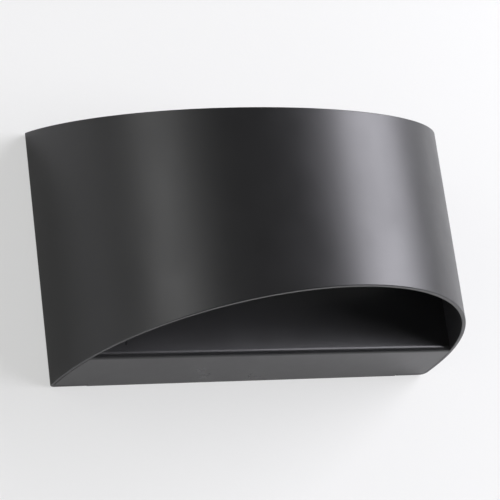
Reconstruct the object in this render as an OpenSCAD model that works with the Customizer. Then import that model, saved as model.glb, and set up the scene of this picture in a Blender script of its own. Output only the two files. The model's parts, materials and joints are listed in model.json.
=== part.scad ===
// Half-round up-and-down wall light: a bent metal shade over a shallow rear box,
// with a sealed light engine between them and a bracket that stays on the wall.
// Millimetres. X runs along the wall, -Y faces the room, +Z is up.
// The origin is the middle of the bracket's two wall slots, on the wall's surface.

/* [Shade] */
// Outer radius of the half-round shade, which is also how far it stands out
shade_r = 101.6; // [96:0.1:115]
// Height of the shade where it meets the wall
wall_h = 114.3; // [108:0.1:140]
// Height of the shade at its front, where both rims come closest
front_h = 76.2; // [60:0.1:100]
// Thickness of the shade's sheet
shade_t = 1.8; // [1.2:0.1:2.4]
// Outer radius of the bend where the shade meets the wall
corner_r = 3; // [2.8:0.1:5]
// Width of the flange that the shade turns back along the wall
return_w = 15; // [14:0.5:20]

/* [Rear housing] */
// Depth of the rear box, from the wall to its front face
box_d = 31.2; // [29.7:0.1:36]
// Thickness of the rear box's sheet
box_t = 1.5; // [1:0.1:2]
// Outer radius of the bends above and below the box's front face
bend_r = 3; // [2.4:0.1:6]
// Hairline joint between the shade and the rear box
seam = 0.1; // [0.05:0.05:0.5]
// Height of the side tabs that carry the shade
tab_h = 78; // [70:1:90]

/* [Wall bracket] */
// Width of the bracket's plate
bracket_w = 112; // [108:1:130]
// Height of the bracket's plate
bracket_h = 84; // [78:1:96]
// Thickness of the bracket's plate
bracket_t = 1.5; // [1.2:0.1:2.5]
// Depth of the stiffening flanges above and below the plate
bracket_lip = 6; // [4:0.5:8]
// Distance between the two wall slots
slot_spacing = 88.9; // [82:0.1:92]
// Width of a wall slot
slot_w = 5; // [4:0.1:6]
// Length of a wall slot, end to end
slot_l = 14; // [10:0.5:16]
// Diameter of the hole for the supply cable, inside its grommet
supply_d = 16; // [10:0.5:18]

/* [Studs and cap nuts] */
// Diameter of the two studs that carry the lamp
stud_d = 4.2; // [3.5:0.1:5]
// Distance of each stud from the middle
stud_x = 36; // [30:0.5:42]
// Height of the studs above the middle
stud_z = 32; // [28:0.5:34]
// How far a stud reaches past the front of the rear box
stud_out = 8; // [6:0.5:10]
// Diameter of a cap nut
nut_d = 11; // [9:0.5:13]
// Length of a cap nut
nut_l = 11; // [10:0.5:14]
// Thickness of the washer under a cap nut
washer_t = 1; // [0.6:0.1:1.5]

/* [Light engine] */
// Thickness of the aluminium plate that carries both boards
carrier_t = 6; // [5:0.5:8]
// Height of the foot that bolts the plate to the rear box
foot_h = 26; // [24:1:34]
// Width of that foot
foot_w = 160; // [154:1:168]
// Thickness of that foot
foot_t = 3; // [2.5:0.5:5]
// Gap between the light engine and the inside of the shade
engine_gap = 2.3; // [1:0.1:4]
// Width of the clamped rim round each diffuser
rim_w = 9.5; // [8.5:0.5:12]
// Height of a diffuser's face above the middle of the lamp
lens_top = 17; // [15.5:0.1:18.5]
// Wall of a diffuser
lens_t = 2; // [1.5:0.1:3]
// Thickness of a diffuser's clamped rim
lens_rim_t = 2; // [1.5:0.1:3]
// Thickness of the seal under a diffuser
gasket_t = 0.8; // [0.5:0.1:1.5]
// Thickness of the frame that clamps a diffuser
bezel_t = 1.2; // [0.8:0.1:2]

/* [Boards] */
// Thickness of a light-emitting board
board_t = 1.6; // [1:0.1:2]
// Number of emitters on the curved row of a board
arc_leds = 16; // [8:1:20]
// Number of emitters on the straight row of a board
row_leds = 8; // [4:2:10]

/* [Driver] */
// Length of the driver's case
driver_l = 84; // [78:1:88]
// Height of the driver's case
driver_h = 34; // [30:1:34]
// Depth of the driver's case with its lid
driver_d = 19; // [17:0.5:21]
// Wall of the driver's case
driver_t = 1.6; // [1.2:0.1:2]

/* [Leads] */
// Diameter of the supply leads
supply_lead_d = 2.2; // [1.8:0.1:2.6]
// Diameter of the leads to the boards
board_lead_d = 1.6; // [1.2:0.1:1.8]

/* [Hidden] */
$fn = 96;
cut = 1;                                        // how far a cutter runs past what it cuts
play = 0.05;                                    // radial room of a screw in its hole
slide_play = 0.2;                               // radial room of a stud in a hole it slides through
lead_play = 0.3;                                // room round a lead
reach = 3 * shade_r;                            // longer than the whole lamp

rim_slope = (wall_h - front_h) / 2 / shade_r;   // rise of a rim for each millimetre from the wall
rim_angle = atan(rim_slope);
inner_r = shade_r - shade_t;
corner_x = sqrt(pow(shade_r - corner_r, 2) - pow(corner_r, 2));  // centre of the bend at the wall
corner_turn = asin(corner_r / (shade_r - corner_r));             // where that bend meets the big arc
return_in = corner_x - return_w;                // inner edge of the flange on the wall
bend_z = wall_h / 2 - rim_slope * (box_d - bend_r) - bend_r / cos(rim_angle);  // centre of a bend
end_x = return_in + 1.5;                        // outer face of the box's end walls
end_inside = end_x - box_t;
tab_back = shade_t + seam;                      // wall side of the tabs that lie on the flange
shade_screw_x = (end_x + corner_x) / 2;
shade_screw_z = tab_h / 2 - 9;
floor_y = -(box_d - box_t);                     // inside face of the box's front

engine_r = inner_r - engine_gap;
engine_back = box_d + foot_t + 0.3;             // wall side of gaskets and diffusers
tip_room = 0.3;                                 // a screw stops this far inside what it bites
dome_r = engine_r - rim_w;
rim_screw_r = engine_r - rim_w / 2 + 0.2;
carrier_screw_x = 50;
carrier_screw_z = 8;
lead_z = 8;                                     // height of the leads where they reach a board
connector = [10, 6, 5];                         // width, depth and height of a board's connector
connector_y = -(engine_back + lens_t + 5.7);    // face where the leads go in
led = [3.5, 2.8, 0.7];
led_arc_r = dome_r - lens_t - 10;
led_spread = 110;                               // angle that the curved row of emitters spans

ground_at = [22, 0, -26];                       // the bracket's ground screw
ground_r = 2.4;
guard_t = 3;                                    // wall of the grommet in the bracket's cable hole

boss_d = 7;                                     // blind bosses inside the box's front
boss_h = 3;
driver_x = -26;
driver_top = -14;
driver_z = driver_top - driver_h / 2;
ear_z = driver_top - 4;
ear_l = 8;
ear_t = 2.5;

pole_pitch = 10;
pole_x = 35;                                    // first pole of the terminal block
block_h = 20;
block_top = -14;
block_z = block_top - block_h / 2;
block_d = 14;
block_wire_y = floor_y + 7;
block_screw_d = 3.6;
block_screw_z = 5.5;
block_hole_r = 1.6;                             // bore for a lead, and for a fixing screw's shank
block_bottom = block_top - block_h;
block_seat_y = floor_y + block_d - 5.8;         // seat of the screw between two poles

earth = [foot_w / 2 - 8, 8];                    // x and z of the earth screw
lug_t = 0.8;
driver_end = driver_x + driver_l / 2;
driver_start = driver_x - driver_l / 2;
driver_wire_y = floor_y + 9.7;                  // where the supply leads enter the driver
live_z = driver_top - 26.5;
neutral_z = driver_top - 31;
transformer = [18, 10.5, 16];
flange_t = 1.5;                                 // end plates of the transformer's bobbin
capacitors = [[-26, 6, 4], [-26, -6, 4], [24, 4, 5], [20, -9, 3.5]];  // x, z and radius of each
capacitor_h = 9.6;
barrel_y = floor_y + 2;                         // axis of the earth lug's barrel
barrel_l = 5.5;
trunk_y = [floor_y + 13.7, floor_y + 11.3];     // the four leads to the boards run two by two
trunk_z = 1.2;
clip = [8, 15, 10];                             // a clip that holds the four leads
clip_x = [-27, -41];
drop_x = (driver_start - end_inside) / 2;       // the leads go down between driver and end wall

// Routes of the leads, chosen by hand and smoothed by the tube
live_route = [[pole_x, block_wire_y, block_bottom + 4], [pole_x, block_wire_y, block_bottom + 2],
              [pole_x, block_wire_y, block_bottom - 1], [33, block_wire_y, -39],
              [28, driver_wire_y - 1.5, live_z], [driver_end + 6, driver_wire_y, live_z],
              [driver_end + 3, driver_wire_y, live_z], [driver_end, driver_wire_y, live_z],
              [driver_end - 3, driver_wire_y, live_z]];
neutral_route = [[pole_x + pole_pitch, block_wire_y, block_bottom + 4],
                 [pole_x + pole_pitch, block_wire_y, block_bottom + 2],
                 [pole_x + pole_pitch, block_wire_y, block_bottom - 2], [43.5, block_wire_y, -41],
                 [37, driver_wire_y - 1, -44.5], [30, driver_wire_y, neutral_z],
                 [driver_end + 6, driver_wire_y, neutral_z], [driver_end + 3, driver_wire_y, neutral_z],
                 [driver_end, driver_wire_y, neutral_z], [driver_end - 3, driver_wire_y, neutral_z]];
earth_route = [[pole_x + 2 * pole_pitch, block_wire_y, block_bottom + 4],
               [pole_x + 2 * pole_pitch, block_wire_y, block_bottom + 2],
               [pole_x + 2 * pole_pitch, block_wire_y, block_bottom - 1], [57, block_wire_y, -40],
               [63, block_wire_y, -42], [earth[0] - 2, floor_y + 6, -38], [earth[0], floor_y + 5, -28],
               [earth[0], floor_y + 4, -18], [earth[0], barrel_y, -9], [earth[0], barrel_y, -5],
               [earth[0], barrel_y, -2]];

module along_x(length) rotate([90, 0, 90]) linear_extrude(length, center = true) children();
module along_z(from, to) translate([0, 0, from]) linear_extrude(to - from) children();
module to_wall() rotate([-90, 0, 0]) children();
module to_room() rotate([90, 0, 0]) children();

// The half-round outline with a bend of the given radius at each wall corner
module half_round(radius, bend) {
    back = -(corner_r - bend);
    intersection() {
        translate([-reach, -reach + back]) square([2 * reach, reach]);
        union() {
            intersection() {
                circle(radius, $fn = 360);
                polygon([[0, 0], [reach * cos(corner_turn), -reach * sin(corner_turn)],
                         [reach, -reach], [-reach, -reach],
                         [-reach * cos(corner_turn), -reach * sin(corner_turn)]]);
            }
            translate([-corner_x, -corner_r]) square([2 * corner_x, bend]);
            for (side = [-1, 1]) translate([side * corner_x, -corner_r]) circle(bend);
        }
    }
}

// Part of a disc in front of a straight back edge
module half_disc(radius, back) intersection() {
    circle(radius, $fn = 360);
    translate([-reach, -reach - back]) square([2 * reach, reach]);
}

// Side view of everything between the two sloping rims
module rim_profile() {
    past = 5;
    polygon([[past, wall_h / 2 + rim_slope * past], [-shade_r - past, front_h / 2 - rim_slope * past],
             [-shade_r - past, -front_h / 2 + rim_slope * past], [past, -wall_h / 2 - rim_slope * past]]);
}

// Side view of the rear box, or of its inside when inset by the sheet
module box_profile(inset, past) {
    bend = bend_r - inset;
    top = wall_h / 2 - inset / cos(rim_angle);
    touch = [-(box_d - bend_r) - bend * sin(rim_angle), bend_z + bend * cos(rim_angle)];
    polygon([[past, top + rim_slope * past], touch, [-(box_d - inset), bend_z],
             [-(box_d - inset), -bend_z], [touch[0], -touch[1]], [past, -top - rim_slope * past]]);
    for (side = [-1, 1]) translate([-(box_d - bend_r), side * bend_z]) circle(bend);
}

// Screw with its head's seat at z = 0, its head above and its shank below
module screw(d, length, head_d, head_h, sunk = false) {
    slot = head_d * 0.55;
    difference() {
        union() {
            if (sunk) translate([0, 0, -head_h]) cylinder(head_h, d / 2, head_d / 2, $fn = 48);
            else cylinder(head_h, head_d / 2, head_d / 2 * 0.82, $fn = 48);
            translate([0, 0, -length]) cylinder(length - (sunk ? head_h : 0), d / 2, d / 2, $fn = 48);
        }
        for (turn = [0, 90]) rotate(turn)
            translate([-slot / 2, -slot / 10, (sunk ? 0 : head_h) - head_h * 0.45])
                cube([slot, slot / 5, head_h]);
    }
}

// Round tube swept along a smoothed route
function unit(v) = v / norm(v);
function blend(a, b, c, d, t) = 0.5 * (2 * b + (c - a) * t + (2 * a - 5 * b + 4 * c - d) * t * t
                                       + (3 * b - a - 3 * c + d) * t * t * t);
function smoothed(p, steps) = let (last = len(p) - 1)
    concat([for (i = [0 : last - 1], k = [0 : steps - 1])
               blend(p[max(i - 1, 0)], p[i], p[i + 1], p[min(i + 2, last)], k / steps)], [p[last]]);
function headings(p) = let (last = len(p) - 1)
    [for (i = [0 : last]) unit(p[min(i + 1, last)] - p[max(i - 1, 0)])];
function across(n, t) = unit(n - (n * t) * t);
function first_across(t) = across(abs(t[1]) < 0.9 ? [0, 1, 0] : [1, 0, 0], t);
function frames(t) = [for (i = 0, n = first_across(t[0]); i < len(t);
                           i = i + 1, n = i < len(t) ? across(n, t[i]) : n) n];
module tube(route, d, steps = 3, sides = 8) {
    p = smoothed(route, steps);
    t = headings(p);
    n = frames(t);
    rings = len(p);
    points = [for (i = [0 : rings - 1], k = [0 : sides - 1])
        let (b = cross(t[i], n[i]), a = 360 * k / sides)
            p[i] + d / 2 * (cos(a) * n[i] + sin(a) * b)];
    skin = [for (i = [0 : rings - 2], k = [0 : sides - 1], half = [0, 1])
        let (a = i * sides + k, b = i * sides + (k + 1) % sides, c = a + sides, e = b + sides)
            half == 0 ? [a, b, e] : [a, e, c]];
    caps = concat([for (k = [1 : sides - 2]) [0, k + 1, k]],
                  [for (k = [1 : sides - 2]) let (z = (rings - 1) * sides) [z, z + k, z + k + 1]]);
    polyhedron(points, [for (f = concat(skin, caps)) [f[0], f[2], f[1]]]);
}

// Positions on a board: x, y and turn of each emitter
function led_places() = concat(
    [for (i = [0 : arc_leds - 1]) let (a = -90 + led_spread * (i / (arc_leds - 1) - 0.5))
        [led_arc_r * cos(a), led_arc_r * sin(a), a]],
    [for (i = [0 : row_leds - 1]) let (half = row_leds / 2, k = i < half ? i - half : i - half + 1)
        [k * 12, -(engine_back + lens_t + 12), 90]]);
rim_screw_turns = [-150, -120, -90, -60, -30];
board_screw_places = [[-54, -(engine_back + 8)], [54, -(engine_back + 8)], [0, -(dome_r - lens_t - 22)]];
module both_ways() for (flip = [0, 1]) mirror([0, 0, flip]) children();
module lead_places() for (z = [-lead_z, lead_z]) translate([0, 0, z]) children();
module carrier_screw_places()
    for (x = [-carrier_screw_x, carrier_screw_x], z = [-carrier_screw_z, carrier_screw_z])
        translate([x, 0, z]) children();

module wall_bracket() color("lightgray") difference() {
    union() {
        translate([-bracket_w / 2, -bracket_t, -bracket_h / 2]) cube([bracket_w, bracket_t, bracket_h]);
        for (z = [-bracket_h / 2, bracket_h / 2 - bracket_t])
            translate([-bracket_w / 2, -bracket_lip, z]) cube([bracket_w, bracket_lip, bracket_t]);
    }
    for (side = [-1, 1]) {
        for (x = [-1, 1]) translate([side * slot_spacing / 2 + x * (slot_l - slot_w) / 2, 0, 0])
            to_wall() cylinder(4 * bracket_t, slot_w / 2, slot_w / 2, center = true);
        translate([side * slot_spacing / 2 - (slot_l - slot_w) / 2, -2 * bracket_t, -slot_w / 2])
            cube([slot_l - slot_w, 4 * bracket_t, slot_w]);
        translate([side * stud_x, 0, stud_z])
            to_wall() cylinder(4 * bracket_t, stud_d / 2 + play, stud_d / 2 + play, center = true);
    }
    to_wall() cylinder(4 * bracket_t, supply_d / 2 + guard_t, supply_d / 2 + guard_t, center = true);
    translate(ground_at) to_wall() cylinder(4 * bracket_t, ground_r + play, ground_r + play, center = true);
}

module bracket_studs() color("silver") for (side = [-1, 1]) translate([side * stud_x, 0, stud_z]) to_room() {
    cylinder(box_d + stud_out - 0.8, stud_d / 2, stud_d / 2);
    translate([0, 0, box_d + stud_out - 0.8]) cylinder(0.8, stud_d / 2, stud_d / 2 - 0.8);
    translate([0, 0, bracket_t]) cylinder(2.2, stud_d / 2 + 1.8, stud_d / 2 + 1.2);
}

module supply_grommet() color("dimgray") to_room() difference() {
    union() {
        cylinder(bracket_t + 2, supply_d / 2 + guard_t - play, supply_d / 2 + guard_t - play);
        translate([0, 0, bracket_t]) cylinder(2, supply_d / 2 + guard_t + 2, supply_d / 2 + guard_t + 1);
    }
    translate([0, 0, -cut]) cylinder(bracket_t + 2 + 2 * cut, supply_d / 2, supply_d / 2);
}

module ground_screw() color("green") translate(ground_at - [0, bracket_t, 0]) to_room() {
    difference() {
        union() {
            cylinder(0.8, 5, 5);
            cylinder(4, 3.9, 3.9, $fn = 6);
        }
        translate([-5, -0.6, 2.8]) cube([10, 1.2, 2]);
    }
    translate([0, 0, -bracket_t]) cylinder(bracket_t + 0.1, ground_r, ground_r);
}

module shade() color("black") difference() {
    intersection() {
        linear_extrude(wall_h + 10, center = true) difference() {
            half_round(shade_r, corner_r);
            half_round(inner_r, corner_r - shade_t);
            translate([-return_in, -shade_t - cut]) square([2 * return_in, shade_t + 2 * cut]);
        }
        along_x(reach) rim_profile();
    }
    for (x = [-1, 1], z = [-1, 1]) translate([x * shade_screw_x, 0, z * shade_screw_z]) to_wall() {
        translate([0, 0, -1.6 - play]) cylinder(1.6 + play, 1.5 + 2 * play, 3 + 2 * play);
        translate([0, 0, -shade_t - cut]) cylinder(shade_t + cut, 1.5 + play, 1.5 + play);
    }
}

// Everything that fits inside the shade, with the hairline joint left free
module inside_shade() linear_extrude(wall_h + 10, center = true) {
    half_round(inner_r - seam, corner_r - shade_t - seam);
    translate([-return_in + seam, -corner_r]) square([2 * (return_in - seam), corner_r]);
}

module boss(x, z) translate([x, floor_y, z]) to_wall() cylinder(boss_h, boss_d / 2, boss_d / 2);
module boss_hole(x, z) translate([x, -box_d + 0.8, z]) to_wall() cylinder(reach, 1.5 + play, 1.5 + play);
fixings = [[driver_start - ear_l / 2, ear_z], [driver_end + ear_l / 2, ear_z],
           [pole_x + pole_pitch / 2, block_z]];

module rear_housing() color("black") difference() {
    intersection() {
        union() {
            along_x(reach) difference() {
                box_profile(0, 0);
                box_profile(box_t, cut);
            }
            intersection() {
                along_x(reach) box_profile(0, 0);
                for (side = [-1, 1]) translate([side * (end_x - box_t / 2), -box_d / 2 - tab_back / 2, 0])
                    cube([box_t, box_d - tab_back, reach], center = true);
            }
            for (side = [0, 1]) mirror([side, 0, 0])
                translate([end_x - box_t, -tab_back - box_t, -tab_h / 2])
                    cube([corner_x - end_x + box_t, box_t, tab_h]);
            for (place = fixings) boss(place[0], place[1]);
        }
        inside_shade();
    }
    for (side = [-1, 1]) translate([side * stud_x, 0, stud_z])
        to_room() cylinder(reach, stud_d / 2 + slide_play, stud_d / 2 + slide_play);
    lead_places() to_room() cylinder(reach, 4, 4);
    carrier_screw_places() to_room() cylinder(reach, 2 + play, 2 + play);
    translate([earth[0], 0, earth[1]]) to_room() cylinder(reach, 2 + play, 2 + play);
    for (place = fixings) boss_hole(place[0], place[1]);
    for (x = [-1, 1], z = [-1, 1]) translate([x * shade_screw_x, 0, z * shade_screw_z])
        to_room() cylinder(box_d / 2, 1.5 + play, 1.5 + play);
}

module shade_screws() color("dimgray")
    for (x = [-1, 1], z = [-1, 1]) translate([x * shade_screw_x, 0, z * shade_screw_z])
        to_wall() screw(3, 6, 6, 1.6, sunk = true);

module led_carrier() color("lightgray") difference() {
    union() {
        along_z(-carrier_t / 2, carrier_t / 2) half_disc(engine_r, box_d);
        translate([-foot_w / 2, -box_d - foot_t, -foot_h / 2]) cube([foot_w, foot_t, foot_h]);
    }
    lead_places() to_room() cylinder(box_d + foot_t + cut, 3, 3);
    carrier_screw_places() to_room() cylinder(box_d + foot_t + cut, 2 + play, 2 + play);
    translate([earth[0], 0, earth[1]]) to_room() cylinder(box_d + foot_t + cut, 2 + play, 2 + play);
    for (turn = rim_screw_turns) rotate(turn) translate([rim_screw_r, 0, 0])
        cylinder(reach, 1.5 + play, 1.5 + play, center = true);
    for (place = board_screw_places) translate(place) cylinder(reach, 1.5 + play, 1.5 + play, center = true);
}

module carrier_screws() color("silver")
    carrier_screw_places() translate([0, floor_y, 0]) to_wall() screw(4, box_t + foot_t - tip_room, 7, 2.4);

module led_board() color("white") difference() {
    along_z(carrier_t / 2, carrier_t / 2 + board_t) half_disc(dome_r - lens_t - 0.5, engine_back + lens_t + 0.5);
    for (place = board_screw_places) translate(place) cylinder(reach, 1.5 + 2 * play, 1.5 + 2 * play);
}
module led_board_up() led_board();
module led_board_down() mirror([0, 0, 1]) led_board();

module leds() color("khaki") for (place = led_places())
    translate([place[0], place[1], carrier_t / 2 + board_t + led[2] / 2]) rotate(place[2]) cube(led, center = true);
module leds_up() leds();
module leds_down() mirror([0, 0, 1]) leds();

module board_connectors() color("ivory") both_ways()
    translate([0, connector_y - connector[1] / 2, carrier_t / 2 + board_t + connector[2] / 2]) difference() {
        cube(connector, center = true);
        for (side = [-1, 1]) translate([side * (board_lead_d / 2 + 0.15), 0, lead_z - carrier_t / 2 - board_t - connector[2] / 2])
            to_wall() cylinder(connector[1], board_lead_d / 2 + 0.1, board_lead_d / 2 + 0.1);
    }

module board_screws() color("silver") both_ways() for (place = board_screw_places)
    translate([place[0], place[1], carrier_t / 2 + board_t]) screw(3, board_t + carrier_t / 2 - tip_room, 5.6, 1.8);

module lens_gasket() color("gray") difference() {
    along_z(carrier_t / 2, carrier_t / 2 + gasket_t) difference() {
        half_disc(engine_r, engine_back);
        half_disc(dome_r - lens_t, engine_back + lens_t);
    }
    for (turn = rim_screw_turns) rotate(turn) translate([rim_screw_r, 0, 0]) cylinder(reach, 1.6, 1.6);
}
module lens_gasket_up() lens_gasket();
module lens_gasket_down() mirror([0, 0, 1]) lens_gasket();

lens_base = carrier_t / 2 + gasket_t;
module diffuser() color("whitesmoke") difference() {
    union() {
        along_z(lens_base, lens_base + lens_rim_t) half_disc(engine_r, engine_back);
        along_z(lens_base, lens_top) half_disc(dome_r, engine_back);
    }
    along_z(lens_base - cut, lens_top - lens_t) half_disc(dome_r - lens_t, engine_back + lens_t);
    translate([0, 0, lead_z]) to_room() cylinder(engine_back + lens_t + cut, 2.4, 2.4);
    for (turn = rim_screw_turns) rotate(turn) translate([rim_screw_r, 0, 0]) cylinder(reach, 1.6, 1.6);
}
module diffuser_up() diffuser();
module diffuser_down() mirror([0, 0, 1]) diffuser();

module bezel() color("black") difference() {
    along_z(lens_base + lens_rim_t, lens_base + lens_rim_t + bezel_t) difference() {
        half_disc(engine_r, engine_back);
        half_disc(dome_r + 0.2, engine_back - cut);
    }
    for (turn = rim_screw_turns) rotate(turn) translate([rim_screw_r, 0, 0]) cylinder(reach, 1.6, 1.6);
}
module bezel_up() bezel();
module bezel_down() mirror([0, 0, 1]) bezel();

module bezel_screws() color("dimgray") both_ways() for (turn = rim_screw_turns)
    rotate(turn) translate([rim_screw_r, 0, lens_base + lens_rim_t + bezel_t])
        screw(3, bezel_t + lens_rim_t + gasket_t + carrier_t / 2 - tip_room, 5.6, 1.8);

module driver_case() color("white") difference() {
    union() {
        translate([driver_start, floor_y, driver_top - driver_h])
            cube([driver_l, driver_d - driver_t, driver_h]);
        for (x = [driver_start - ear_l, driver_end - cut]) translate([x, floor_y + boss_h, ear_z - 4])
            cube([ear_l + cut, ear_t, 8]);
    }
    translate([driver_start + driver_t, floor_y + driver_t, driver_top - driver_h + driver_t])
        cube([driver_l - 2 * driver_t, reach, driver_h - 2 * driver_t]);
    for (place = [fixings[0], fixings[1]]) translate([place[0], floor_y, place[1]])
        to_wall() cylinder(reach, 1.6, 1.6);
    for (z = [live_z, neutral_z]) translate([driver_end, driver_wire_y, z]) lead_hole(supply_lead_d);
    for (y = trunk_y, z = [driver_z - trunk_z, driver_z + trunk_z]) translate([driver_start, y, z])
        lead_hole(board_lead_d);
}
module lead_hole(d) rotate([0, 90, 0])
    cylinder(4 * driver_t, (d + lead_play) / 2, (d + lead_play) / 2, center = true);

module driver_lid() color("white") {
    translate([driver_start, floor_y + driver_d - driver_t, driver_top - driver_h])
        cube([driver_l, driver_t, driver_h]);
    translate([driver_start + driver_t + 0.2, floor_y + driver_d - 2 * driver_t, driver_top - driver_h + driver_t + 0.2])
        cube([driver_l - 2 * driver_t - 0.4, driver_t, driver_h - 2 * driver_t - 0.4]);
}

board_y = floor_y + driver_t;                   // the driver's board lies on its case's floor
parts_y = board_y + board_t;
module driver_board() color("darkgreen")
    translate([driver_start + driver_t + 5, board_y, driver_top - driver_h + driver_t + 0.5])
        cube([driver_l - 2 * driver_t - 10, board_t, driver_h - 2 * driver_t - 1]);

module driver_transformer() color("goldenrod")
    translate([driver_x - transformer[0] / 2, parts_y, driver_z - transformer[2] / 2]) {
        for (y = [0, transformer[1] - flange_t]) translate([0, y, 0])
            cube([transformer[0], flange_t, transformer[2]]);
        translate([1, flange_t / 2, 1]) cube(transformer - [2, flange_t, 2]);
    }

module driver_capacitors() color("navy")
    for (place = capacitors)
        translate([driver_x + place[0], parts_y, driver_z + place[1]]) to_wall() {
            cylinder(capacitor_h - 0.6, place[2], place[2]);
            translate([0, 0, capacitor_h - 0.6]) cylinder(0.6, place[2], place[2] - 0.6);
        }

module driver_screws() color("silver") for (place = [fixings[0], fixings[1]])
    translate([place[0], floor_y + boss_h + ear_t, place[1]]) to_wall() screw(3, ear_t + boss_h + 0.5, 5.6, 1.8);

module terminal_block() color("ivory") difference() {
    for (pole = [0 : 2]) translate([pole_x + pole * pole_pitch, floor_y, block_z]) {
        translate([-pole_pitch / 2, 0, -block_h / 2]) cube([pole_pitch, block_d - 4, block_h]);
        translate([-pole_pitch / 2 + 1.2, 0, -block_h / 2]) cube([pole_pitch - 2.4, block_d, block_h]);
    }
    for (pole = [0 : 2]) translate([pole_x + pole * pole_pitch, 0, block_z]) {
        translate([0, block_wire_y, 0]) cylinder(block_h + cut, block_hole_r, block_hole_r, center = true);
        for (z = [-block_screw_z, block_screw_z]) translate([0, block_wire_y + 1, z])
            to_wall() cylinder(reach, block_screw_d / 2 + play, block_screw_d / 2 + play);
    }
    translate([fixings[2][0], floor_y - cut, fixings[2][1]]) to_wall() {
        cylinder(boss_h + cut + 0.1, boss_d / 2 + 0.2, boss_d / 2 + 0.2);
        cylinder(reach, block_hole_r, block_hole_r);
    }
    translate([fixings[2][0], block_seat_y, fixings[2][1]]) to_wall() cylinder(reach, 3, 3);
}

module terminal_screws() color("silver") for (pole = [0 : 2], z = [-block_screw_z, block_screw_z])
    translate([pole_x + pole * pole_pitch, floor_y + block_d - 1.5, block_z + z]) to_wall() difference() {
        translate([0, 0, -4]) cylinder(4, block_screw_d / 2, block_screw_d / 2);
        translate([-2, -0.35, -0.9]) cube([4, 0.7, 2]);
    }

module terminal_fixing_screw() color("silver")
    translate([fixings[2][0], block_seat_y, fixings[2][1]]) to_wall()
        screw(3, block_seat_y - floor_y + 0.4, 5.6, 1.8);

module live_lead() color("black") tube(live_route, supply_lead_d);
module neutral_lead() color("white") tube(neutral_route, supply_lead_d);
module earth_lead() color("green") tube(earth_route, supply_lead_d);

module earth_lug() color("silver") translate([earth[0], floor_y, earth[1]]) {
    to_wall() difference() {
        cylinder(lug_t, 4.2, 4.2);
        translate([0, 0, -cut]) cylinder(reach, 2 + play, 2 + play);
    }
    translate([-1.4, 0, -earth[1] - 1]) cube([2.8, lug_t, earth[1] - 2.5]);
    translate([0, barrel_y - floor_y, -earth[1] - barrel_l + 0.5]) difference() {
        cylinder(barrel_l, 2, 2);
        translate([0, 0, -cut]) cylinder(reach, supply_lead_d / 2 + 0.1, supply_lead_d / 2 + 0.1);
    }
}

module earth_screw() color("green") translate([earth[0], floor_y + lug_t, earth[1]]) to_wall()
    screw(4, lug_t + box_t + foot_t - tip_room, 7, 2.4);

// Route of one lead from a board's connector to the driver
function board_route(side, way, y) =
    let (x = side * (board_lead_d / 2 + 0.15), z = way * lead_z, lane = way * trunk_z,
         drop = drop_x - way * 1.4, enter = driver_z - way * trunk_z)
    [[x, connector_y - 2.5, z], [x, connector_y, z], [x, connector_y + 5, z], [x, -box_d - 1, z],
     [x, floor_y + 2, z], [x - 1.9 + side * 0.7, floor_y + 8.3 + side * 1.1, z * 0.95], [-9, y, z * 0.7],
     [-20, y, lane], [-32, y, lane], [-44, y, lane], [-56, y, lane], [-62, y, lane],
     [drop + 4, y, lane - 3.5], [drop, y, lane - 10], [drop, y, driver_z + 9],
     [drop + 1.6, y, enter + 2.2], [driver_start - 3.5, y, enter], [driver_start - 1.5, y, enter],
     [driver_start + 1, y, enter], [driver_start + 3, y, enter]];
module positive_leads() color("red") for (way = [-1, 1]) tube(board_route(-1, way, trunk_y[1]), board_lead_d);
module negative_leads() color("black") for (way = [-1, 1]) tube(board_route(1, way, trunk_y[0]), board_lead_d);

module lead_grommets() color("dimgray") lead_places() to_room() difference() {
    union() {
        translate([0, 0, -floor_y - 1.2]) cylinder(1.2, 5.2, 5.2);
        translate([0, 0, -floor_y - cut]) cylinder(box_t + cut, 4 - play, 4 - play);
    }
    cylinder(reach, 2.2, 2.2);
}

module lead_clips() color("white") for (x = clip_x) translate([x, floor_y, 0]) difference() {
    grip = board_lead_d / 2 + lead_play;
    translate([-clip[0] / 2, 0, -clip[2] / 2]) cube(clip);
    translate([-clip[0] / 2 - cut, trunk_y[1] - floor_y - grip, -trunk_z - grip])
        cube([clip[0] + 2 * cut, trunk_y[0] - trunk_y[1] + 2 * grip, 2 * (trunk_z + grip)]);
}

module nut_washers() color("dimgray") for (side = [-1, 1]) translate([side * stud_x, -box_d, stud_z])
    to_room() difference() {
        cylinder(washer_t, nut_d / 2 + 0.8, nut_d / 2 + 0.8);
        translate([0, 0, -cut]) cylinder(washer_t + 2 * cut, stud_d / 2 + slide_play, stud_d / 2 + slide_play);
    }

module cap_nut(side) color("black") translate([side * stud_x, -box_d - washer_t, stud_z])
    to_room() difference() {
        union() {
            cylinder(nut_l - 2.5, nut_d / 2, nut_d / 2);
            translate([0, 0, nut_l - 2.5]) cylinder(2.5, nut_d / 2, nut_d / 2 - 2.5);
        }
        translate([0, 0, -cut]) cylinder(stud_out - washer_t + 1.5 + cut, stud_d / 2 + 0.1, stud_d / 2 + 0.1);
    }
module cap_nut_left() cap_nut(-1);
module cap_nut_right() cap_nut(1);

wall_bracket();
bracket_studs();
supply_grommet();
ground_screw();
shade();
rear_housing();
shade_screws();
led_carrier();
carrier_screws();
led_board_up();
led_board_down();
leds_up();
leds_down();
board_connectors();
board_screws();
lens_gasket_up();
lens_gasket_down();
diffuser_up();
diffuser_down();
bezel_up();
bezel_down();
bezel_screws();
driver_case();
driver_lid();
driver_board();
driver_transformer();
driver_capacitors();
driver_screws();
terminal_block();
terminal_screws();
terminal_fixing_screw();
live_lead();
neutral_lead();
earth_lead();
earth_lug();
earth_screw();
positive_leads();
negative_leads();
lead_grommets();
lead_clips();
nut_washers();
cap_nut_left();
cap_nut_right();
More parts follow.
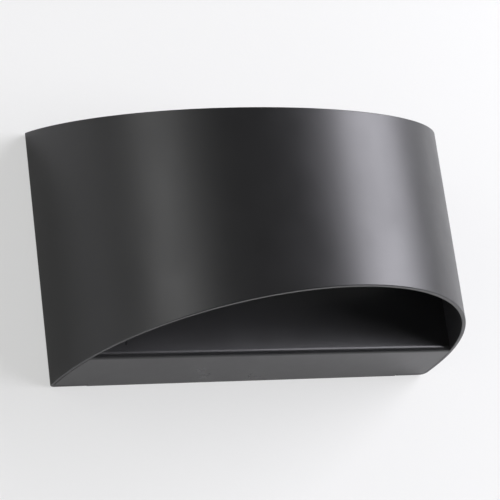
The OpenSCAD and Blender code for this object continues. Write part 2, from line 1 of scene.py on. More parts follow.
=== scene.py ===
# Half-round up-and-down wall light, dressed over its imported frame
import json
import math
import bpy
import bmesh
from mathutils import Matrix, Vector


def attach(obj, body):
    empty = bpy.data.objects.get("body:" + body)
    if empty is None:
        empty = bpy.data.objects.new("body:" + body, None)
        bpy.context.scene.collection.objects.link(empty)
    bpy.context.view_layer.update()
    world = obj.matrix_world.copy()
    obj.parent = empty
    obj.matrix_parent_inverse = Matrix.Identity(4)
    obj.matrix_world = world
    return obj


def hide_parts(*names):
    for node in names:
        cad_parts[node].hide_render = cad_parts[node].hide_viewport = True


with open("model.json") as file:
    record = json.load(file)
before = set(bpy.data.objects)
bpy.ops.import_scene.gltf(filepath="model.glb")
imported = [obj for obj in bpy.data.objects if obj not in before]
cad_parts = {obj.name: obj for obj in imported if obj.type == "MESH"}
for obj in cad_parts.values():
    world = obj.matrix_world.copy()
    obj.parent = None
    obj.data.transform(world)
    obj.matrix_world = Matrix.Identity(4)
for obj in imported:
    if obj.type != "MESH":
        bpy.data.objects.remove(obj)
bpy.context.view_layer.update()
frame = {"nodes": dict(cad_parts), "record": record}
nodes = frame["nodes"]
mm = 0.001
print("frame loaded:", len(nodes), "nodes")

def addObject(name, data):
    made = bpy.data.objects.new(name, data)
    bpy.context.scene.collection.objects.link(made)
    return made

def asMesh(bm, name="template"):
    mesh = bpy.data.meshes.new(name)
    bm.to_mesh(mesh)
    bm.free()
    return mesh

def camelCase(name):
    first, *others = name.split("_")
    return first + "".join(word.title() for word in others)


# Camera, as the photograph was taken
photoCamera = {
    "place": (-0.37645, -0.59088, -0.16765),
    "right": (0.84716, -0.51520, -0.12996),
    "down": (0.01711, 0.27092, -0.96245),
    "focalPixels": 1534.8,
    "framePixels": 500,
    "sensor": 36,
}

def placeCamera(look):
    data = bpy.data.cameras.new("photoCamera")
    data.sensor_width = look["sensor"]
    data.lens = look["focalPixels"] * look["sensor"] / look["framePixels"]
    data.clip_start = 0.01
    camera = addObject("photoCamera", data)
    right, up = Vector(look["right"]), -Vector(look["down"])
    turn = Matrix((right, up, right.cross(up))).transposed()
    camera.matrix_world = Matrix.Translation(look["place"]) @ turn.to_4x4()
    bpy.context.scene.camera = camera

placeCamera(photoCamera)
print("camera placed")


# Small helpers for node trees
def nodeOf(tree, kind):
    return next(node for node in tree.nodes if node.type == kind)

def newMaterial(name):
    material = bpy.data.materials.new(name)
    material.use_nodes = True
    tree = material.node_tree
    shader = nodeOf(tree, "BSDF_PRINCIPLED")
    coords = tree.nodes.new("ShaderNodeTexCoord")
    return material, tree, shader, coords.outputs["Object"]

def noiseOf(tree, vector, scale, detail=2.0, rough=0.5, stretch=None):
    if stretch:
        mapping = tree.nodes.new("ShaderNodeMapping")
        mapping.inputs["Scale"].default_value = stretch
        tree.links.new(vector, mapping.inputs["Vector"])
        vector = mapping.outputs["Vector"]
    noise = tree.nodes.new("ShaderNodeTexNoise")
    noise.inputs["Scale"].default_value = scale
    noise.inputs["Detail"].default_value = detail
    noise.inputs["Roughness"].default_value = rough
    tree.links.new(vector, noise.inputs["Vector"])
    return noise.outputs["Fac"]

def spread(tree, value, low, high, fromLow=0.3, fromHigh=0.7):
    node = tree.nodes.new("ShaderNodeMapRange")
    limits = (("From Min", fromLow), ("From Max", fromHigh), ("To Min", low), ("To Max", high))
    for socket, number in limits:
        node.inputs[socket].default_value = number
    tree.links.new(value, node.inputs["Value"])
    return node.outputs["Result"]

def mixColors(tree, value, first, second):
    node = tree.nodes.new("ShaderNodeMix")
    node.data_type = "RGBA"
    node.inputs[6].default_value = (*first, 1)
    node.inputs[7].default_value = (*second, 1)
    tree.links.new(value, node.inputs[0])
    return node.outputs[2]

def bumpFrom(tree, value, height, strength=1.0, under=None):
    node = tree.nodes.new("ShaderNodeBump")
    node.inputs["Distance"].default_value = height
    node.inputs["Strength"].default_value = strength
    tree.links.new(value, node.inputs["Height"])
    if under:
        tree.links.new(under, node.inputs["Normal"])
    return node.outputs["Normal"]

def reckon(tree, first, operation, second):
    # The second value is another node's socket or a plain number
    node = tree.nodes.new("ShaderNodeMath")
    node.operation = operation
    node.use_clamp = True
    tree.links.new(first, node.inputs[0])
    if isinstance(second, bpy.types.NodeSocket):
        tree.links.new(second, node.inputs[1])
    else:
        node.inputs[1].default_value = second
    return node.outputs[0]

def mixShaders(tree, factor, first, second):
    node = tree.nodes.new("ShaderNodeMixShader")
    for number, socket in enumerate((factor, first, second)):
        tree.links.new(socket, node.inputs[number])
    return node.outputs[0]


# Black powder coat: near-black, satin, with a fine orange peel and faint handling marks
powderLook = {
    "dark": (0.0055, 0.0055, 0.006),
    "light": (0.0085, 0.0085, 0.0092),
    "roughLow": 0.36,
    "roughHigh": 0.43,
    "gloss": 0.62,
    "peelScale": 1500,
    "peelHeight": 0.000010,
    "grainScale": 6000,
    "grainHeight": 0.000003,
    "cloudScale": 14,
    "marksScale": 42,
    "ior": 1.5,
}
# The rear box is flat sheet, on which the coat flows out a little smoother. Its base colour is also lighter
# than the shade's: painted light that brightens the box's dim front inside the shade
smootherPaintedLightLook = {**powderLook, "roughLow": 0.27, "roughHigh": 0.33, "gloss": 0.45,
                "dark": (0.013, 0.013, 0.0137), "light": (0.018, 0.018, 0.019)}
# Inside the shade the base colour is lighter: painted light, standing in for the bounce light that reaches
# the inside too little
insidePaintedLightLook = {**powderLook, "dark": (0.016, 0.016, 0.017), "light": (0.021, 0.021, 0.022)}

def powderCoat(name, look):
    material, tree, shader, coords = newMaterial(name)
    cloud = noiseOf(tree, coords, look["cloudScale"], detail=4, rough=0.6)
    tree.links.new(mixColors(tree, cloud, look["dark"], look["light"]), shader.inputs["Base Color"])
    marks = noiseOf(tree, coords, look["marksScale"], detail=5, rough=0.65)
    tree.links.new(spread(tree, marks, look["roughLow"], look["roughHigh"]), shader.inputs["Roughness"])
    peel = bumpFrom(tree, noiseOf(tree, coords, look["peelScale"], detail=2), look["peelHeight"])
    grain = noiseOf(tree, coords, look["grainScale"], detail=1)
    grain = bumpFrom(tree, grain, look["grainHeight"], under=peel)
    tree.links.new(grain, shader.inputs["Normal"])
    shader.inputs["IOR"].default_value = look["ior"]
    shader.inputs["Specular IOR Level"].default_value = look["gloss"]
    return material

blackPowderCoat = powderCoat("blackPowderCoat", powderLook)
# Lighter copy of the coat for the rear box: painted light, besides its smoother finish
smootherPowderCoat = powderCoat("smootherPowderCoat", smootherPaintedLightLook)
# Lighter copy of the coat for the inside of the shade: painted light
thinnerPowderCoat = powderCoat("thinnerPowderCoat", insidePaintedLightLook)

# The other finishes: dark and light colour, roughness from and to, scale of the clouding, metal,
# and relief as scale and height, with its scale along each axis where the grain runs one way
finishes = {
    "zincPlatedSteel": ((0.53, 0.54, 0.56), (0.63, 0.64, 0.65), 0.3, 0.42, 140, 1, (900, 5e-6, 0.12, 1, 2)),
    "castAluminium": ((0.58, 0.59, 0.6), (0.72, 0.73, 0.74), 0.4, 0.55, 50, 1, (2400, 1.2e-5)),
    "blackRubber": ((0.012, 0.012, 0.0125), (0.022, 0.022, 0.0225), 0.6, 0.74, 70, 0, (2000, 9e-6)),
    "siliconeSeal": ((0.4, 0.41, 0.42), (0.5, 0.51, 0.52), 0.42, 0.54, 60, 0, (1500, 5e-6)),
    "opalAcrylic": ((0.868, 0.872, 0.866), (0.885, 0.887, 0.878), 0.27, 0.32, 14, 0, (2600, 3e-6)),
    "whiteSolderMask": ((0.78, 0.79, 0.76), (0.87, 0.87, 0.85), 0.24, 0.33, 80, 0, (1200, 2e-6)),
    "emitterPhosphor": ((0.78, 0.56, 0.1), (0.88, 0.7, 0.2), 0.42, 0.55, 900, 0, (5000, 4e-6)),
    "ivoryNylon": ((0.68, 0.64, 0.53), (0.78, 0.74, 0.64), 0.4, 0.5, 60, 0, (1600, 7e-6)),
    "whitePlastic": ((0.7, 0.7, 0.69), (0.8, 0.8, 0.79), 0.38, 0.5, 40, 0, (1400, 1e-5)),
    "greenSolderMask": ((0.018, 0.14, 0.05), (0.03, 0.23, 0.085), 0.2, 0.3, 120, 0, (1200, 2e-6)),
    "windingTape": ((0.6, 0.4, 0.05), (0.78, 0.57, 0.1), 0.22, 0.34, 100, 0, (900, 1.4e-5, 0.2, 1, 0.2)),
    "capacitorSleeve": ((0.02, 0.034, 0.11), (0.032, 0.052, 0.17), 0.2, 0.3, 80, 0, (700, 4e-6, 1, 0.3, 1)),
    "greenZinc": ((0.025, 0.2, 0.07), (0.05, 0.33, 0.12), 0.28, 0.4, 150, 0.6, (1200, 4e-6)),
    "blackInsulation": ((0.016, 0.016, 0.016), (0.026, 0.026, 0.026), 0.32, 0.42, 90, 0, (1800, 5e-6)),
    "whiteInsulation": ((0.74, 0.74, 0.72), (0.83, 0.83, 0.81), 0.32, 0.42, 90, 0, (1800, 5e-6)),
    "greenInsulation": ((0.025, 0.27, 0.07), (0.045, 0.36, 0.11), 0.32, 0.42, 90, 0, (1800, 5e-6)),
    "redInsulation": ((0.42, 0.018, 0.012), (0.56, 0.032, 0.022), 0.32, 0.42, 90, 0, (1800, 5e-6)),
    "blackZinc": ((0.018, 0.018, 0.02), (0.04, 0.04, 0.043), 0.26, 0.38, 160, 0.7, (1300, 4e-6)),
}

def everydayFinish(name, look):
    dark, light, roughLow, roughHigh, clouding, metal, relief = look
    material, tree, shader, coords = newMaterial(name)
    cloud = noiseOf(tree, coords, clouding, detail=4, rough=0.6)
    tree.links.new(mixColors(tree, spread(tree, cloud, 0, 1), dark, light), shader.inputs["Base Color"])
    handled = noiseOf(tree, coords, clouding * 2.7, detail=5, rough=0.65)
    tree.links.new(spread(tree, handled, roughLow, roughHigh), shader.inputs["Roughness"])
    scale, height, *stretch = relief
    fine = bumpFrom(tree, noiseOf(tree, coords, scale, detail=3, rough=0.6, stretch=stretch), height)
    tree.links.new(fine, shader.inputs["Normal"])
    shader.inputs["Metallic"].default_value = metal
    return material

trackLook = {"spacing": 0.06, "height": 0.00003}
# Light enters these a little: share, and how deep in metres
lightDepth = {"opalAcrylic": (0.35, 0.004), "siliconeSeal": (0.2, 0.001)}

def addTracks(material, look):
    # Copper tracks show through the mask as low ridges round the middle of the board
    tree = material.node_tree
    shader = nodeOf(tree, "BSDF_PRINCIPLED")
    coords = nodeOf(tree, "TEX_COORD").outputs["Object"]
    rings = tree.nodes.new("ShaderNodeTexWave")
    rings.wave_type = "RINGS"
    rings.rings_direction = "Z"
    rings.inputs["Scale"].default_value = 1 / look["spacing"]
    rings.inputs["Distortion"].default_value = 0
    tree.links.new(coords, rings.inputs["Vector"])
    under = shader.inputs["Normal"].links[0].from_socket
    flank = spread(tree, rings.outputs["Fac"], 0, 1, fromLow=0.35, fromHigh=0.5)
    ridge = bumpFrom(tree, flank, look["height"], under=under)
    tree.links.new(ridge, shader.inputs["Normal"])

slotMaterials = {name: everydayFinish(name, look) for name, look in finishes.items()}
slotMaterials["blackPowderCoat"] = blackPowderCoat
for boardMask in ("whiteSolderMask", "greenSolderMask"):
    addTracks(slotMaterials[boardMask], trackLook)
for name, (weight, radius) in lightDepth.items():
    shader = nodeOf(slotMaterials[name].node_tree, "BSDF_PRINCIPLED")
    shader.inputs["Subsurface Weight"].default_value = weight
    shader.inputs["Subsurface Radius"].default_value = (radius, radius, radius)
    shader.inputs["Subsurface Scale"].default_value = 1

def materialOf(slotName):
    return slotMaterials[camelCase(slotName)]

slotOf = {part["node"]: part["material_slot"] for part in frame["record"]["subparts"]}
bodies = frame["record"]["behaviour"]["bodies"]
bodyOf = {node: body for body, members in bodies.items() for node in members}
for name, node in nodes.items():
    for place in node.material_slots:
        place.material = materialOf(slotOf[name])
print("materials made:", len(slotMaterials))


# Growing wires, sheet and solids from a few vertices. From here on to the room, sizes and places
# are in millimetres, as on the drawing
creaseAngle = 32   # edges that turn by more than this stay crisp
bothSides = (-1, 1)
intoWall, intoRoom = (0, 1, 0), (0, -1, 0)

def vertsIn(made):
    return [part for part in made if isinstance(part, bmesh.types.BMVert)]

def merge(bm, distance=1e-7):   # in metres
    bmesh.ops.remove_doubles(bm, verts=bm.verts[:], dist=distance)

def shift(bm, x, y, z):
    bmesh.ops.translate(bm, verts=bm.verts[:], vec=(x * mm, y * mm, z * mm))

def carryTo(bm, vertex, point):
    new = bmesh.ops.extrude_vert_indiv(bm, verts=[vertex])["verts"][0]
    new.co = Vector(point) * mm
    return new

def carryOn(bm, vertex, step):
    new = carryTo(bm, vertex, step)
    new.co += vertex.co
    return new

def carryRound(bm, vertex, centre, axis, angle, steps):
    made = bmesh.ops.spin(bm, geom=[vertex], cent=Vector(centre) * mm, axis=axis, angle=angle, steps=steps,
                          use_duplicate=False)["geom_last"]
    return vertsIn(made)[0]

def raiseWires(bm, height):
    made = bmesh.ops.extrude_edge_only(bm, edges=bm.edges[:])["geom"]
    bmesh.ops.translate(bm, verts=vertsIn(made), vec=[length * mm for length in height])

def cutAndFill(bm, point, normal):
    everything = bm.verts[:] + bm.edges[:] + bm.faces[:]
    made = bmesh.ops.bisect_plane(bm, geom=everything, plane_co=Vector(point) * mm, plane_no=normal,
                                  clear_outer=True)
    rim = [part for part in made["geom_cut"] if isinstance(part, bmesh.types.BMEdge)]
    bmesh.ops.contextual_create(bm, geom=rim)

def fillAndRaise(bm, height):
    # An outline becomes a solid, once its two ends are joined
    merge(bm)
    bm.edges.new([v for v in bm.verts if len(v.link_edges) == 1])
    outline = bmesh.ops.contextual_create(bm, geom=bm.edges[:])["faces"]
    made = bmesh.ops.extrude_face_region(bm, geom=outline)["geom"]
    bmesh.ops.translate(bm, verts=vertsIn(made), vec=[length * mm for length in height])

def thicken(bm, guide, outward, sheet):
    # Makes bent sheet of a surface, turned so that its guide face looks outward along Y
    bmesh.ops.recalc_face_normals(bm, faces=bm.faces[:])
    if max(bm.faces, key=guide).normal.y * outward < 0:
        bmesh.ops.reverse_faces(bm, faces=bm.faces[:])
    bmesh.ops.solidify(bm, geom=bm.faces[:], thickness=sheet * mm)

def sharpEdges(bm, angle):
    return [e for e in bm.edges if len(e.link_faces) == 2 and e.calc_face_angle(0) > math.radians(angle)]

def bevelEdges(bm, edges, offset, segments):
    bmesh.ops.bevel(bm, geom=edges, offset=offset * mm, offset_type="OFFSET", segments=segments, profile=0.5,
                    affect="EDGES", material=-1, clamp_overlap=True)

def easeEdges(bm, radius, segments=2, angle=50, where=None):
    edges = [e for e in sharpEdges(bm, angle) if not where or all(where(v.co / mm) for v in e.verts)]
    bevelEdges(bm, edges, radius, segments)
    return bm


# Building blocks
def aim(place, axis=(0, 0, 1), roll=0.0):
    turn = Vector((0, 0, 1)).rotation_difference(Vector(axis)).to_matrix().to_4x4()
    return Matrix.Translation(Vector(place) * mm) @ turn @ Matrix.Rotation(roll, 4, "Z")

def turned(points, steps=48, closed=False):
    # A turned part about Z, from radius and height of each corner
    bm = bmesh.new()
    corners = [bm.verts.new(Vector((radius, 0, height)) * mm) for radius, height in points]
    for pair in zip(corners, corners[1:] + corners[:1] if closed else corners[1:]):
        bm.edges.new(pair)
    bmesh.ops.spin(bm, geom=bm.verts[:] + bm.edges[:], axis=(0, 0, 1), angle=math.tau, steps=steps,
                   use_merge=True)
    merge(bm)
    bmesh.ops.recalc_face_normals(bm, faces=bm.faces[:])
    return bm

def slab(middle, sides):
    bm = bmesh.new()
    put = Matrix.Translation(Vector(middle) * mm) @ Matrix.Diagonal((*sides, 1))
    bmesh.ops.create_cube(bm, size=mm, matrix=put)
    return bm

def block(low, high, radius=0.3, segments=3):
    low, high = Vector(low), Vector(high)
    bm = slab((low + high) / 2, high - low)
    if radius:
        bevelEdges(bm, bm.edges[:], radius, segments)
    return bm

def halfDisc(radius, back, bottom, top, steps=120):
    # Part of a disc in front of a straight back edge
    bm = bmesh.new()
    turn = math.asin(back / radius)
    vertex = bm.verts.new(Vector((-radius * math.cos(turn), -back, bottom)) * mm)
    carryRound(bm, vertex, (0, 0, 0), (0, 0, 1), math.pi - 2 * turn, steps)
    fillAndRaise(bm, (0, 0, top - bottom))
    return bm

def drill(bm, place, axis, radius, length, mouth=None, mouthDepth=0, segments=40):
    # A round cutter from place along axis, with a wider mouth for a sunk head
    for wide, deep in ((radius, length), (mouth, mouthDepth)):
        if wide:
            put = aim(place, axis) @ Matrix.Translation((0, 0, deep / 2 * mm))
            bmesh.ops.create_cone(bm, cap_ends=True, segments=segments, matrix=put, depth=deep * mm,
                                  radius1=wide * mm, radius2=radius * mm)

def meshOf(name, bm):
    bmesh.ops.recalc_face_normals(bm, faces=bm.faces[:])
    return addObject(name, asMesh(bm, name))

def combine(piece, tool, operation):
    step = piece.modifiers.new(operation, "BOOLEAN")
    step.operation = operation
    step.solver = "EXACT"
    step.object = tool
    made = bpy.data.meshes.new_from_object(piece.evaluated_get(bpy.context.evaluated_depsgraph_get()))
    piece.modifiers.clear()
    piece.data = made
    bpy.data.objects.remove(tool)

def asBmesh(piece):
    bm = bmesh.new()
    bm.from_mesh(piece.data)
    bpy.data.objects.remove(piece)
    return bm

def joinWith(bm, *others, operation="UNION"):
    piece = meshOf("blank", bm)
    for other in others:
        combine(piece, meshOf("other", other), operation)
    return asBmesh(piece)

def cutWith(bm, *tools):
    return joinWith(bm, *tools, operation="DIFFERENCE")

def addCopy(bm, mesh, matrix=Matrix.Identity(4)):
    before = len(bm.verts)
    bm.from_mesh(mesh)
    bm.verts.ensure_lookup_table()
    bmesh.ops.transform(bm, matrix=matrix, verts=bm.verts[before:])

def copiesOf(bm, matrices):
    mesh = asMesh(bm)
    whole = bmesh.new()
    for matrix in matrices:
        addCopy(whole, mesh, matrix)
    bpy.data.meshes.remove(mesh)
    return whole

def standFor(bm, node, name=None, weighted=True, material=None):
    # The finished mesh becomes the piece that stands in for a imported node
    name = name or camelCase(node)
    merge(bm)
    bmesh.ops.recalc_face_normals(bm, faces=bm.faces[:])
    for face in bm.faces:
        face.smooth = True
    for edge in sharpEdges(bm, creaseAngle):
        edge.smooth = False
    piece = addObject(name, asMesh(bm, name))
    piece.data.materials.append(material or materialOf(slotOf[node]))
    if weighted:
        even = piece.modifiers.new("evenNormals", "WEIGHTED_NORMAL")
        even.keep_sharp = True
        even.weight = 80
    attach(piece, bodyOf[node])
    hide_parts(node)
    return piece


# Shade
shadeSize = {
    "radius": 101.6, "wallHeight": 114.3, "frontHeight": 76.2, "sheet": 1.8, "cornerRadius": 3.0,
    "returnWidth": 15.0, "rimRounding": 0.35, "arcSteps": 180, "bendSteps": 14,
    "screwX": 91.8, "screwZ": 30.0, "screwHeadRadius": 3.1, "screwRadius": 1.6, "screwSink": 1.65,
    "rimAbove": 34.0,   # only the two rims lie further from the middle
}
tapHole, clearHole = 1.55, 2.05   # radii, for M3 and M4
rimSlope = (shadeSize["wallHeight"] - shadeSize["frontHeight"]) / 2 / shadeSize["radius"]
cornerX = math.sqrt((shadeSize["radius"] - shadeSize["cornerRadius"]) ** 2 - shadeSize["cornerRadius"] ** 2)
cornerTurn = math.asin(shadeSize["cornerRadius"] / (shadeSize["radius"] - shadeSize["cornerRadius"]))

def fourWays(x, z):
    return [(sideX * x, sideZ * z) for sideX in bothSides for sideZ in bothSides]

def towardsRoom(face):
    return -face.calc_center_median().y

def halfRoundWire(bm, inset, flange=None):
    # From the left flange, round the left bend, the big arc and the right bend, to the right flange
    bend, steps = shadeSize["cornerRadius"], shadeSize["bendSteps"]
    end = cornerX - flange if flange else 0
    quarter = math.pi / 2 - cornerTurn
    vertex = bm.verts.new(Vector((-end, -inset, 0)) * mm)
    vertex = carryOn(bm, vertex, (end - cornerX, 0, 0))
    vertex = carryRound(bm, vertex, (-cornerX, -bend, 0), (0, 0, 1), quarter, steps)
    vertex = carryRound(bm, vertex, (0, 0, 0), (0, 0, 1), math.pi - 2 * cornerTurn, shadeSize["arcSteps"])
    vertex = carryRound(bm, vertex, (cornerX, -bend, 0), (0, 0, 1), quarter, steps)
    carryOn(bm, vertex, (end - cornerX, 0, 0))

def makeShade(size):
    bm = bmesh.new()
    halfRoundWire(bm, 0, size["returnWidth"])
    shift(bm, 0, 0, -size["wallHeight"])
    raiseWires(bm, (0, 0, 2 * size["wallHeight"]))
    thicken(bm, towardsRoom, -1, size["sheet"])
    for side in (1, -1):
        cutAndFill(bm, (0, 0, side * size["wallHeight"] / 2), Vector((0, -rimSlope, side)).normalized())
    holes = bmesh.new()
    for x, z in fourWays(size["screwX"], size["screwZ"]):
        drill(holes, (x, 0.05, z), intoRoom, size["screwRadius"], size["sheet"] + 1,
              size["screwHeadRadius"], size["screwSink"])
    bm = cutWith(bm, holes)
    easeEdges(bm, size["rimRounding"], 3, 50, lambda place: abs(place.z) > size["rimAbove"])
    # The inside gets the lighter coat of painted light, up to just past the inner face of the sheet
    inside = (size["radius"] - size["sheet"] + 0.02) * mm
    for face in bm.faces:
        face.material_index = int(face.calc_center_median().xy.length < inside)
    piece = standFor(bm, "shade", "shadeShell")
    piece.data.materials.append(thinnerPowderCoat)
    return piece

shadeShell = makeShade(shadeSize)
print("shade made:", len(shadeShell.data.polygons), "faces")


# Rear box
boxSize = {
    "depth": 31.2, "sheet": 1.5, "bendRadius": 3.0, "bendSteps": 14, "seam": 0.1, "endX": 85.05,
    "tabHeight": 78.0, "reachZ": 70.0, "edgeRounding": 0.15,
    "studX": 36.0, "studZ": 32.0, "studHole": 2.3,
    "leadZ": 8.0, "leadHole": 4.0,
    "carrierScrewX": 50.0, "carrierScrewZ": 8.0,
    "earthScrew": (72.0, 8.0),
    "bosses": ((-72.0, -18.0), (20.0, -18.0), (40.0, -24.0)), "bossRadius": 3.5, "bossHeight": 3.0,
    "easedY": (-30.5, -0.5), "easedAbove": 45.0,   # only the cut edges at the ends lie in these ranges
}

def boxWire(bm, size):
    # Side outline of the box: top wall, bend, front, bend, bottom wall
    rimAngle = math.atan(rimSlope)
    half, bend, depth = shadeSize["wallHeight"] / 2, size["bendRadius"], size["depth"]
    bendZ = half - rimSlope * (depth - bend) - bend / math.cos(rimAngle)
    quarter, steps = math.pi / 2 - rimAngle, size["bendSteps"]
    vertex = bm.verts.new(Vector((0, 0, half)) * mm)
    vertex = carryTo(bm, vertex, (0, bend - depth - bend * math.sin(rimAngle),
                                  bendZ + bend * math.cos(rimAngle)))
    vertex = carryRound(bm, vertex, (0, bend - depth, bendZ), (1, 0, 0), quarter, steps)
    vertex = carryOn(bm, vertex, (0, 0, -2 * bendZ))
    vertex = carryRound(bm, vertex, (0, bend - depth, -bendZ), (1, 0, 0), quarter, steps)
    carryTo(bm, vertex, (0, 0, -half))

def makeRearBox(size):
    sheet, depth, tall = size["sheet"], size["depth"], size["reachZ"]
    bm = bmesh.new()
    boxWire(bm, size)
    shift(bm, -shadeSize["radius"], 0, 0)
    raiseWires(bm, (2 * shadeSize["radius"], 0, 0))
    thicken(bm, towardsRoom, -1, sheet)
    box = meshOf("box", bm)
    # End walls, the tabs that carry the shade, and the bosses
    inside = size["endX"] - sheet
    back = shadeSize["sheet"] + size["seam"]
    for side in bothSides:
        wall = bmesh.new()
        boxWire(wall, size)
        shift(wall, side * (size["endX"] - (side > 0) * sheet), 0, 0)
        fillAndRaise(wall, (sheet, 0, 0))
        cutAndFill(wall, (0, -back, 0), (0, 1, 0))
        tab = slab((side * (inside + cornerX) / 2, -back - sheet / 2, 0),
                   (cornerX - inside, sheet, size["tabHeight"]))
        for extra in (wall, tab):
            combine(box, meshOf("extra", extra), "UNION")
    bosses = bmesh.new()
    for x, z in size["bosses"]:
        drill(bosses, (x, -depth + 0.5, z), intoWall, size["bossRadius"], sheet - 0.5 + size["bossHeight"])
    combine(box, meshOf("bosses", bosses), "UNION")
    # The box is cut to the inside of the shade, and open along the wall between the flanges
    fence = bmesh.new()
    halfRoundWire(fence, back)
    shift(fence, 0, 0, -tall)
    fillAndRaise(fence, (0, 0, 2 * tall))
    half = cornerX - shadeSize["returnWidth"] - size["seam"]
    fence = meshOf("fence", fence)
    combine(fence, meshOf("opening", slab((0, -back * 0.6, 0), (2 * half, back * 1.2, 2 * tall))), "UNION")
    combine(box, fence, "INTERSECT")
    through = [(side * size["studX"], size["studZ"], size["studHole"]) for side in bothSides]
    through += [(0, side * size["leadZ"], size["leadHole"]) for side in bothSides]
    through += [(x, z, clearHole) for x, z in fourWays(size["carrierScrewX"], size["carrierScrewZ"])]
    through.append((*size["earthScrew"], clearHole))
    holes = bmesh.new()
    for x, z, radius in through:
        drill(holes, (x, -depth - 1, z), intoWall, radius, sheet + 2)
    for x, z in size["bosses"]:
        drill(holes, (x, -depth + 0.8, z), intoWall, tapHole, 6)
    for x, z in fourWays(shadeSize["screwX"], shadeSize["screwZ"]):
        drill(holes, (x, -8, z), intoWall, tapHole, 7)
    combine(box, meshOf("holes", holes), "DIFFERENCE")
    front, rear = size["easedY"]
    bm = easeEdges(asBmesh(box), size["edgeRounding"], 2, 60,
                   lambda place: front < place.y < rear and abs(place.z) > size["easedAbove"])
    # The rear box's coat carries painted light: a lighter base colour than the shade's
    return standFor(bm, "rear_housing", "rearBox", material=smootherPowderCoat)

rearBox = makeRearBox(boxSize)
print("rear box made:", len(rearBox.data.polygons), "faces")


# Screws: thread diameter, length under the seat, head diameter and height, sunk or not
screwSizes = {
    "shade_screws": (3.0, 6.0, 6.0, 1.6, True),
    "carrier_screws": (4.0, 4.2, 7.0, 2.4, False),
    "board_screws": (3.0, 4.3, 5.6, 1.8, False),
    "bezel_screws": (3.0, 6.7, 5.6, 1.8, False),
    "driver_screws": (3.0, 6.0, 5.6, 1.8, False),
    "terminal_fixing_screw": (3.0, 8.6, 5.6, 1.8, False),
    "earth_screw": (4.0, 5.0, 7.0, 2.4, False),
}
# Shares of the thread's diameter or radius, and of the head's diameter or height
threadLook = {"pitch": 0.17, "depth": 0.1,
              "recess": 0.3, "recessWidth": 0.085, "recessDepth": 0.55, "taper": 0.62}

def threaded(radius, bottom, top, depth=threadLook["depth"]):
    # Profile of a threaded shank, crest and root by turns, from the tip upwards
    pitch = radius * 2 * threadLook["pitch"]
    turns = max(int((top - bottom) / pitch), 1)
    step = (top - bottom) / turns
    root = radius * (1 - depth)
    corners = [(0, bottom), (root * 0.8, bottom)]
    for turn in range(turns):
        corners += [(root, bottom + (turn + 0.25) * step), (radius, bottom + (turn + 0.7) * step)]
    return corners

def screwShape(size):
    thread, length, head, height, sunk = size
    radius, rim = thread / 2, head / 2
    if sunk:
        corners = threaded(radius, -length, -height)
        corners += [(radius, -height), (rim - 0.12, -0.16), (rim - 0.12, -0.02), (rim - 0.3, 0), (0, 0)]
    else:
        corners = threaded(radius, -length, -0.2)
        corners += [(radius, 0), (rim - 0.1, 0), (rim, 0.12), (rim, height * 0.35),
                    (rim * 0.95, height * 0.68), (rim * 0.8, height * 0.9), (rim * 0.55, height), (0, height)]
    # The cross recess narrows towards its bottom
    top = 0 if sunk else height
    deep = height * threadLook["recessDepth"]
    reach, wide = head * threadLook["recess"], head * threadLook["recessWidth"]
    bars = []
    for x, y in ((reach, wide), (wide, reach)):
        bar = block((-x, -y, top - deep), (x, y, top + 0.5), 0)
        for vertex in bar.verts:
            if vertex.co.z < (top - 0.1) * mm:
                vertex.co.xy *= threadLook["taper"]
        bars.append(bar)
    return cutWith(turned(corners, 32), *bars)

def seatedAt(y, places):
    return [((x, y, z), intoWall) for x, z in places]

def onBothFaces(height, places):
    return [((x, y, side * height), (0, 0, side)) for x, y in places for side in bothSides]

rimScrewRadius, rimScrewTurns = 92.95, (-150, -120, -90, -60, -30)
rimScrews = [(rimScrewRadius * math.cos(turn), rimScrewRadius * math.sin(turn))
             for turn in map(math.radians, rimScrewTurns)]
boardScrews = [(-54, -42.5), (54, -42.5), (0, -64)]
screwPlaces = {
    "shade_screws": seatedAt(0, fourWays(shadeSize["screwX"], shadeSize["screwZ"])),
    "carrier_screws": seatedAt(-29.7, fourWays(boxSize["carrierScrewX"], boxSize["carrierScrewZ"])),
    "board_screws": onBothFaces(4.6, boardScrews),
    "bezel_screws": onBothFaces(7.0, rimScrews),
    "driver_screws": seatedAt(-24.2, boxSize["bosses"][:2]),
    "terminal_fixing_screw": seatedAt(-21.5, boxSize["bosses"][2:]),
    "earth_screw": seatedAt(-28.9, [boxSize["earthScrew"]]),
}
for node, places in screwPlaces.items():
    matrices = [aim(place, way, index * 0.7 + 0.3) for index, (place, way) in enumerate(places)]
    standFor(copiesOf(screwShape(screwSizes[node]), matrices), node)
print("screws made")


# Cap nuts, washers and studs
capNutLook = {"radius": 5.5, "length": 11.0, "bore": 2.2, "boreDepth": 8.5, "knurls": 40, "knurlDepth": 0.22,
              "bandFrom": 1.3, "bandTo": 7.4, "domeFrom": 8.3, "seat": 32.2}
studLook = {"radius": 2.1, "length": 39.2, "threadFrom": 12.0, "threadDepth": 0.16}

